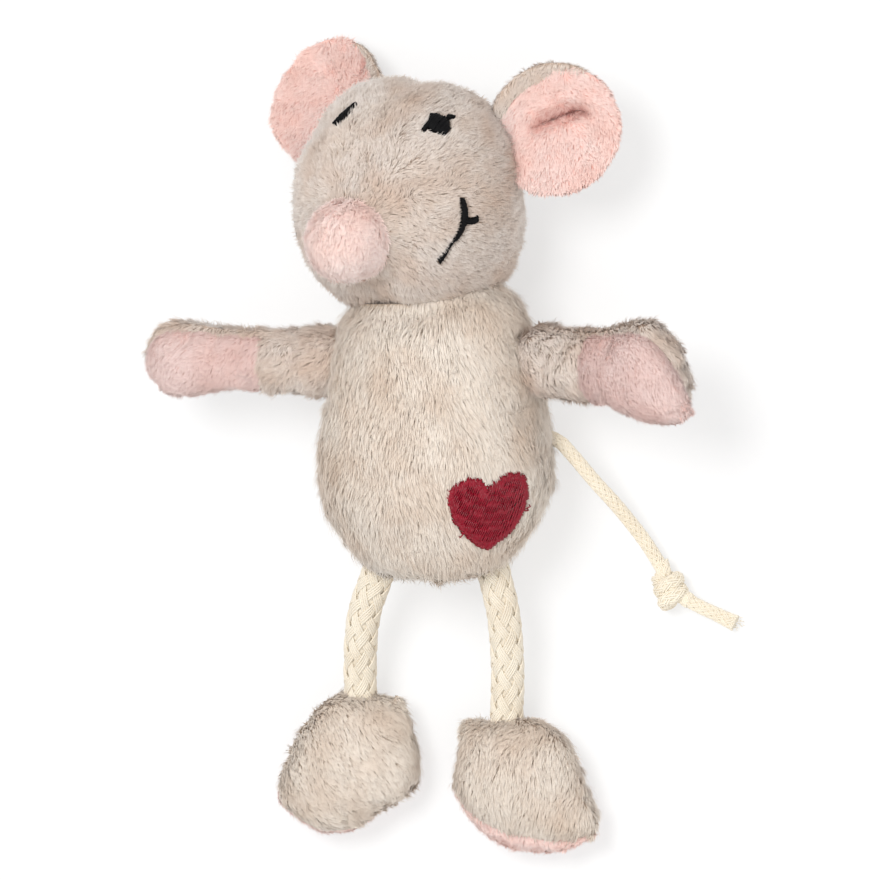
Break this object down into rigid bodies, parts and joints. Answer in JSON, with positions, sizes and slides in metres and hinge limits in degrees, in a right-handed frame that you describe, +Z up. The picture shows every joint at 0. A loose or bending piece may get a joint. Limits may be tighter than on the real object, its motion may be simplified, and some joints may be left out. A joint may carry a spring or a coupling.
{
  "type": "mouse cat toy",
  "caption": "Plush mouse for cats with a stuffed head, body, arms and feet, flat ears, braided rope legs, an embroidered heart and a knotted cord tail.",
  "frame": {"origin": "middle of the footprint that the toy has without its tail, on the floor, as the toy lies on its back", "axes": "+Y from the feet to the head, +Z up from the back through the front, +X to the toy's own left"},
  "size_m": [0.1465, 0.2016, 0.0631],
  "materials": {
    "head_plush": "short grey-beige plush pile",
    "body_plush": "cream plush with a longer pile",
    "foot_plush": "short pale beige plush pile",
    "pink_plush": "short pale pink plush pile",
    "leg_rope": "braided undyed cotton rope",
    "tail_cord": "thin braided undyed cotton cord",
    "heart_thread": "glossy crimson satin stitch",
    "face_thread": "glossy black satin stitch",
    "fibre_fill": "loose white polyester fibre",
    "pouch_cloth": "plain woven cotton"
  },
  "bodies": {
    "torso": {"body_front": "body_plush", "body_back": "body_plush", "body_filling": "fibre_fill", "catnip_pouch": "pouch_cloth", "heart": "heart_thread"},
    "head": {"head_filling": "fibre_fill", "nose_cap": "pink_plush", "head_panel_left": "head_plush", "head_panel_right": "head_plush", "eye_left": "face_thread", "eye_right": "face_thread", "smile_left": "face_thread", "smile_right": "face_thread"},
    "ear_left": {"ear_left_front": "pink_plush", "ear_left_back": "head_plush"},
    "arm_left": {"arm_left_filling": "fibre_fill", "arm_left_back": "head_plush", "arm_left_sleeve": "head_plush", "arm_left_palm": "pink_plush"},
    "leg_left": {"leg_rope_left": "leg_rope"},
    "foot_left": {"foot_left_filling": "fibre_fill", "foot_left_upper": "foot_plush", "foot_left_sole": "pink_plush"},
    "ear_right": {"ear_right_front": "pink_plush", "ear_right_back": "head_plush"},
    "arm_right": {"arm_right_filling": "fibre_fill", "arm_right_back": "head_plush", "arm_right_sleeve": "head_plush", "arm_right_palm": "pink_plush"},
    "leg_right": {"leg_rope_right": "leg_rope"},
    "foot_right": {"foot_right_filling": "fibre_fill", "foot_right_upper": "foot_plush", "foot_right_sole": "pink_plush"},
    "tail": {"tail_cord": "tail_cord", "tail_knot": "tail_cord", "tail_end": "tail_cord"}
  },
  "joints": [
    {"name": "neck_nod", "type": "hinge", "parent": "torso", "child": "head", "pos_m": [-0.0039, 0.0603, 0.0272], "axis": [1, 0, 0], "range_deg": [-30, 20], "stiffness_Nm_per_rad": 0.05},
    {"name": "ear_fold_left", "type": "hinge", "parent": "head", "child": "ear_left", "pos_m": [0.0242, 0.073, 0.0251], "axis": [0.4097, -0.9116, -0.0334], "range_deg": [-40, 55], "stiffness_Nm_per_rad": 0.002},
    {"name": "ear_fold_right", "type": "hinge", "parent": "head", "child": "ear_right", "pos_m": [-0.0239, 0.0788, 0.0126], "axis": [0.6911, 0.7217, -0.0377], "range_deg": [-40, 55], "stiffness_Nm_per_rad": 0.002},
    {"name": "arm_swing_left", "type": "hinge", "parent": "torso", "child": "arm_left", "pos_m": [0.0303, 0.0207, 0.025], "axis": [-0.0946, -0.9955, 0], "range_deg": [-45, 40], "stiffness_Nm_per_rad": 0.025},
    {"name": "arm_swing_right", "type": "hinge", "parent": "torso", "child": "arm_right", "pos_m": [-0.0257, 0.0207, 0.025], "axis": [0.0175, 0.9998, 0], "range_deg": [-30, 60], "stiffness_Nm_per_rad": 0.025},
    {"name": "hip_swing_left", "type": "hinge", "parent": "torso", "child": "leg_left", "pos_m": [0.016, -0.0328, 0.0194], "axis": [-1, 0, 0], "range_deg": [-15, 65], "stiffness_Nm_per_rad": 0.02},
    {"name": "ankle_flop_left", "type": "hinge", "parent": "leg_left", "child": "foot_left", "pos_m": [0.0159, -0.0656, 0.0098], "axis": [-1, 0, 0], "range_deg": [-40, 40], "stiffness_Nm_per_rad": 0.01},
    {"name": "hip_swing_right", "type": "hinge", "parent": "torso", "child": "leg_right", "pos_m": [-0.0147, -0.0328, 0.0194], "axis": [-1, 0, 0], "range_deg": [-15, 65], "stiffness_Nm_per_rad": 0.02},
    {"name": "ankle_flop_right", "type": "hinge", "parent": "leg_right", "child": "foot_right", "pos_m": [-0.022, -0.0604, 0.0098], "axis": [-1, 0, 0], "range_deg": [-40, 40], "stiffness_Nm_per_rad": 0.01},
    {"name": "tail_swing", "type": "hinge", "parent": "torso", "child": "tail", "pos_m": [0.0313, 0.0007, 0.016], "axis": [0, 0, 1], "range_deg": [-20, 45]}
  ]
}
